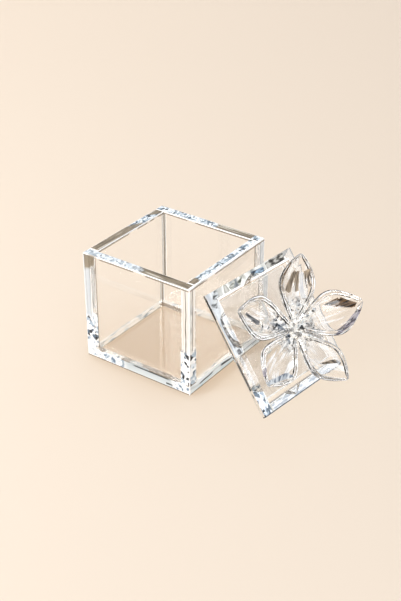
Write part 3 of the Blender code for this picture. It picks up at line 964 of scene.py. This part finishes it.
def petal(reach, tip_height):
    """A cupped, pointed petal: crescent sections bridged from the root to the tip."""
    shape = bmesh.new()
    around = shape.verts.layers.int.new("around")
    flat = shape.verts.layers.float_vector.new("flat")
    rim = shape.verts.layers.float.new("rim")
    sections = []
    for i in range(PETAL_STATIONS):
        t = 0.5 - 0.5 * math.cos(math.pi * i / (PETAL_STATIONS - 1))
        ring = [shape.verts.new(point) for point in petal_section(t, reach, tip_height)]
        for j, vertex in enumerate(ring):
            vertex[around] = j
            vertex[flat] = (vertex.co.y, vertex.co.x, 0)
            vertex[rim] = rim_turn(j, len(ring))
        sections.append([shape.edges.new((ring[j - 1], ring[j])) for j in range(len(ring))])
    for lower, upper in zip(sections, sections[1:]):
        bmesh.ops.bridge_loops(shape, edges=lower + upper)
    for end in (sections[0], sections[-1]):
        bmesh.ops.contextual_create(shape, geom=end)
    count = len(sections[0])
    first_rim = {*range(OUTER_POINTS - 1, OUTER_POINTS + RIM_POINTS)}
    second_rim = {*range(count - RIM_POINTS, count), 0}
    unwrapped = shape.loops.layers.uv.new("flat petal")
    for face in shape.faces:
        places = {vertex[around] for vertex in face.verts}
        face.material_index = int(places <= first_rim or places <= second_rim)
        for loop in face.loops:
            loop[unwrapped].uv = loop.vert[flat].xy
    return shape


FLOWER = LID @ Matrix.Translation((*FLOWER_PLACE, GLASS))
for name, (direction, reach, tip_height) in PETALS.items():
    milk, cracks, facets = PETAL_LOOKS[name]
    bowl = moulded_glass(name + " glass", milk, cracks * MM, facets)
    edge = rim_glass(name + " rim glass", facets)
    shape = petal(reach * MM, tip_height * MM)
    place = FLOWER @ Matrix.Rotation(math.radians(direction), 4, "Z")
    made = piece(name + "_glass", shape, "lid", (bowl, edge), "petal_glass", name, place=place)
    made.data.shade_smooth()
    made.data.set_sharp_from_angle(angle=PETAL_SMOOTH_ANGLE)


def turned(profile, steps):
    """(radius, height) points spun round the axis, the first and last of them on it."""
    shape = bmesh.new()
    points = [shape.verts.new((radius, 0.0, height)) for radius, height in profile]
    edges = [shape.edges.new(pair) for pair in zip(points, points[1:])]
    bmesh.ops.spin(
        shape, geom=points + edges, cent=(0, 0, 0), axis=(0, 0, 1), angle=math.tau,
        steps=steps, use_merge=True, use_duplicate=False,
    )
    bmesh.ops.remove_doubles(shape, verts=shape.verts, dist=WELD)
    return shape


def joined(shape, other, place):
    """Adds one bmesh to another, at its place."""
    bmesh.ops.transform(other, matrix=place, verts=other.verts)
    mesh = bpy.data.meshes.new("part")
    other.to_mesh(mesh)
    other.free()
    shape.from_mesh(mesh)
    bpy.data.meshes.remove(mesh)


def seat():
    """A fluted column with a spread foot."""
    shape = turned(SEAT_PROFILE, SEAT_FLUTES * 2)
    for vertex in shape.verts:
        place = round(math.atan2(vertex.co.y, vertex.co.x) / math.tau * SEAT_FLUTES * 2)
        if place % 2 and SEAT_FOOT_THICKNESS < vertex.co.z < SEAT_HEIGHT:
            vertex.co.xy *= SEAT_FLUTE
    return shape


def stamen(length):
    """A glass thread with a cut bead melted on its end, and smaller ones down its stem."""
    top = length - BEAD_RADIUS
    shape = turned(((0, 0), (STAMEN_RADIUS, 0), (STAMEN_RADIUS, top), (0, top)), STAMEN_SIDES)
    for share in BEAD_SHARES:
        bead = bmesh.new()
        radius = BEAD_RADIUS * (BEAD_LEAST + (1 - BEAD_LEAST) * share)
        bmesh.ops.create_icosphere(bead, subdivisions=1, radius=radius)
        joined(shape, bead, Matrix.Translation((0, 0, share * top)))
    return shape


CENTRE = FLOWER @ Matrix.Translation((0, 0, GAP))
for name, slot, shape, height in (
    ("flower_seat", "petal_glass", seat(), 0),
    ("pistil", "bead_glass", turned(PISTIL_PROFILE, PISTIL_SIDES), SEAT_HEIGHT),
):
    place = CENTRE @ Matrix.Translation((0, 0, height))
    piece(name + "_glass", shape, "lid", (CUT_GLASS,), slot, name, place=place)

for ring, length, lean, direction in STAMEN_RINGS:
    tilt = Matrix.Rotation(math.radians(lean), 4, "Y")
    foot = Matrix.Translation((STAMEN_FOOT_RING, 0, SEAT_HEIGHT)) @ tilt
    for k in range(STAMENS_IN_RING):
        spin = Matrix.Rotation(math.radians(direction) - k * math.tau / STAMENS_IN_RING, 4, "Z")
        name = f"{ring}_{k + 1}"
        glass = LAMPWORKED_GLASS if k % 2 else CUT_GLASS
        place = CENTRE @ spin @ foot
        piece(name + "_glass", stamen(length), "lid", (glass,), "bead_glass", name, place=place)

low, high = (Vector(corner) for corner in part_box("glass_drop"))
drop = bmesh.new()
bmesh.ops.create_icosphere(drop, subdivisions=4, radius=DROP_RADIUS)
bmesh.ops.translate(drop, vec=(low + high) / 2, verts=drop.verts)
piece("glass_drop_glass", drop, "lid", (CUT_GLASS,), "bead_glass", "glass_drop").data.shade_smooth()

# Studio: a warm matt card, the photograph's camera, four soft lights and a pale sky
floor_shape = bmesh.new()
bmesh.ops.create_grid(floor_shape, x_segments=1, y_segments=1, size=FLOOR_SIZE / 2)
floor_mesh = bpy.data.meshes.new("floor")
floor_shape.to_mesh(floor_mesh)
floor_shape.free()
floor = placed("floor", floor_mesh)
floor.location.z = -FLOOR_DROP
matt = bpy.data.materials.new("matt card")
matt.use_nodes = True
paint = matt.node_tree.nodes["Principled BSDF"].inputs
paint["Base Color"].default_value = linear("#E4D7C8")
paint["Roughness"].default_value = 1.0
paint["Specular IOR Level"].default_value = 0.1
floor_mesh.materials.append(matt)

camera_data = bpy.data.cameras.new("camera")
camera_data.lens = LENS
camera_data.sensor_width = SENSOR
camera = placed("camera", camera_data)
camera.location = CAMERA_PLACE
camera.rotation_euler = (math.pi / 2 - CAMERA_DIP, 0, CAMERA_TURN)
scene.camera = camera


def softbox(name, place, aim, power, colour="#FFFFFF", size=0.3):
    """A square soft light, pointed at aim."""
    data = bpy.data.lights.new(name, "AREA")
    data.shape = "SQUARE"
    data.size = size
    data.energy = power
    data.color = linear(colour)[:3]
    lamp = placed(name, data)
    lamp.location = place
    lamp.rotation_euler = (Vector(aim) - Vector(place)).to_track_quat("-Z", "Y").to_euler()


softbox("key", (-1.5, 0.6, 1.5), (0, 0, 0), power=14, colour="#FFF3E4", size=0.4)
softbox("fill", (-0.5, -0.6, 0.6), (-0.1, -0.05, 0), power=2.6, colour="#FFFAF4")
softbox("low fill", (-0.6, -0.9, 0.28), (0, 0, 0.02), power=5)
softbox("side fill", (0.9, -0.5, 0.28), (0, 0, 0.02), power=1.8)

world = bpy.data.worlds.new("studio")
scene.world = world
world.use_nodes = True
tree = world.node_tree
tree.nodes.clear()
direction = add(tree, "ShaderNodeTexCoord").outputs["Generated"]
sky = ramp(
    tree, parts(tree, direction)["Z"],
    (0.0, "#9A9086"), (0.06, "#D8DCE0"), (0.13, "#FAFCFF"), (0.5, "#FFFFFF"), (0.68, "#B6B6B8"),
    (1.0, "#A8A8AA"),
)
clouds = add(tree, "ShaderNodeTexNoise", None, {"Vector": direction}, Scale=CLOUDS, Detail=1.0).outputs["Fac"]
flags = ramp(tree, clouds, (0.40, "#16181C"), (0.45, "#7C8896"), (0.49, "#FFFFFF"))
for toward in SKY_PANELS:
    facing = add(tree, "ShaderNodeVectorMath", {"operation": "DOT_PRODUCT"}, {0: direction})
    facing.inputs[1].default_value = Vector(toward).normalized()
    flags = tinted(tree, rise(tree, facing.outputs["Value"], *PANEL_EDGE), flags, "#FFFFFF")
room = add(tree, "ShaderNodeMix", {"data_type": "RGBA", "blend_type": "MULTIPLY"}, {"A": sky, "B": flags})
room.inputs["Factor"].default_value = 1.0
path = add(tree, "ShaderNodeLightPath").outputs
seen = tinted(tree, path["Is Camera Ray"], room.outputs["Result"], BACKDROP)
glow = add(tree, "ShaderNodeBackground", None, {"Color": seen}, Strength=SKY_STRENGTH)
add(tree, "ShaderNodeOutputWorld", None, {"Surface": glow.outputs[0]})

scene.view_settings.view_transform = "Standard"
scene.cycles.max_bounces = BOUNCES
scene.cycles.transmission_bounces = BOUNCES
scene.cycles.glossy_bounces = GLOSSY_BOUNCES
scene.cycles.transparent_max_bounces = TRANSPARENT_BOUNCES
